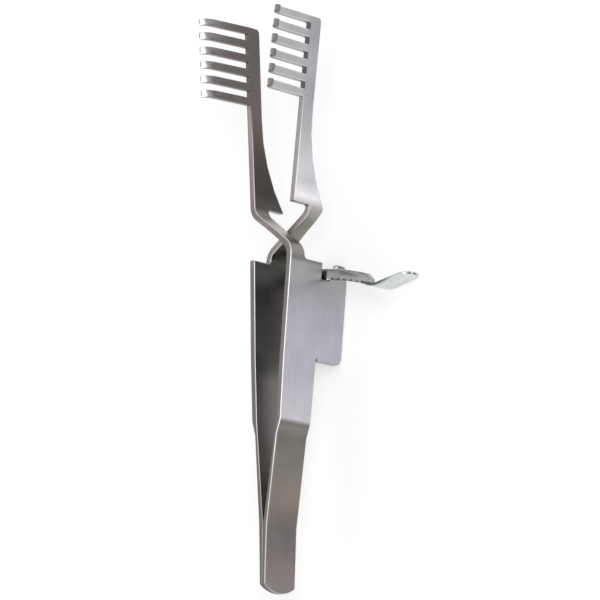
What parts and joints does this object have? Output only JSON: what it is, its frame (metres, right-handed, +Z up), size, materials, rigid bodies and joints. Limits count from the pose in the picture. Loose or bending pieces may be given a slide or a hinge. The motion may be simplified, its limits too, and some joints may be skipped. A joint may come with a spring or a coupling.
{
  "type": "self retaining retractor",
  "caption": "Self-retaining skin retractor with two crossed sheet-steel spring arms, toothed combs for jaws, and a riveted ratchet bar with a thumb plate that holds them open.",
  "frame": {"origin": "on the surface that the wings' edges lie on, under the middle of the outline", "axes": "+Y along the instrument from the heel to the combs, +Z up through the comb teeth, +X the way the ratchet bar and the thumb plate stick out"},
  "size_m": [0.0362, 0.105, 0.0266],
  "materials": {
    "satin_steel": "satin",
    "polished_steel": "polished"
  },
  "bodies": {
    "heel": {"near_heel": "satin_steel", "far_heel": "satin_steel", "near_spring_leaf": "satin_steel", "far_spring_leaf": "satin_steel"},
    "near_arm_body": {"near_arm": "satin_steel"},
    "far_arm_body": {"far_arm": "satin_steel", "bar_rivet": "polished_steel"},
    "bar_body": {"ratchet_bar": "polished_steel", "thumb_plate": "polished_steel"}
  },
  "joints": [
    {"name": "near_arm_flex", "type": "hinge", "parent": "heel", "child": "near_arm_body", "pos_m": [-0.00805, -0.0335, 0.0111], "axis": [0, 0, 1], "range_deg": [-4.5, 3.5], "stiffness_Nm_per_rad": 3.5, "deforming": ["near_spring_leaf"]},
    {"name": "far_arm_flex", "type": "hinge", "parent": "heel", "child": "far_arm_body", "pos_m": [-0.00805, -0.0335, 0.0111], "axis": [0, 0, 1], "range_deg": [-3.5, 4.5], "stiffness_Nm_per_rad": 3.5, "deforming": ["far_spring_leaf"]},
    {"name": "bar_lift", "type": "hinge", "parent": "far_arm_body", "child": "bar_body", "pos_m": [-0.0108, 0.00669, 0.00545], "axis": [0, 0, 1], "range_deg": [0, 12]}
  ],
  "couplings": [
    {"joint": "far_arm_flex", "follows": "near_arm_flex", "ratio": -1}
  ]
}
